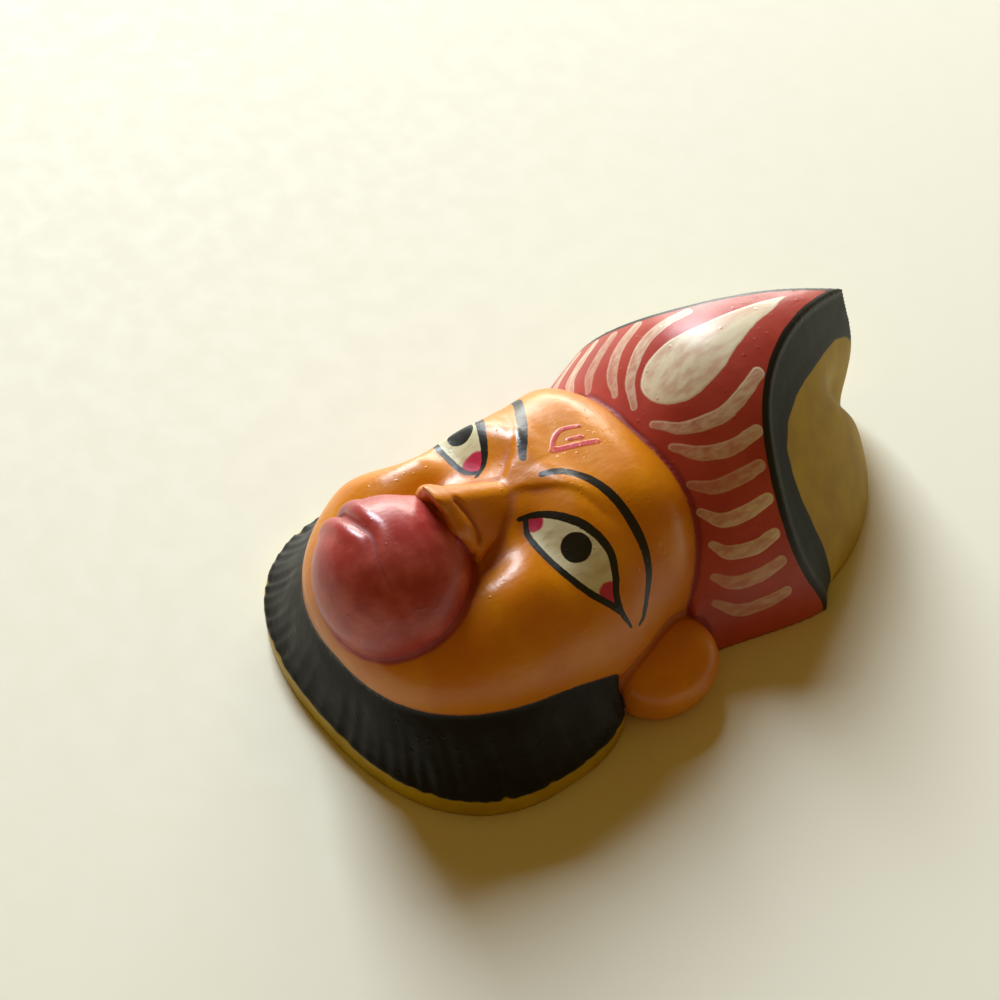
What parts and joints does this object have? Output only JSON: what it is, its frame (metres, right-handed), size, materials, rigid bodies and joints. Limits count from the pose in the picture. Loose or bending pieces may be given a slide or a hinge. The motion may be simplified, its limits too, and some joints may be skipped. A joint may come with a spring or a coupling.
{
  "type": "carved wooden mask",
  "caption": "Small carved and painted wooden mask of a monkey-faced deity with a flared pointed crown, hollow behind, lying face up.",
  "frame": {"origin": "on the flat back plane, under the middle of the outline", "axes": "+Z out of the face, +Y from the chin towards the tip of the crown, +X across the face to the wearer's left"},
  "size_m": [0.1118, 0.1843, 0.0666],
  "materials": {
    "orange_enamel": "hand-brushed gloss enamel on wood",
    "red_enamel": "hand-brushed gloss enamel on wood, with cream strokes",
    "black_enamel": "hand-brushed gloss enamel on gouged wood",
    "yellow_enamel": "hand-brushed enamel on wood"
  },
  "bodies": {
    "root": {"mask": "orange_enamel"}
  },
  "joints": []
}
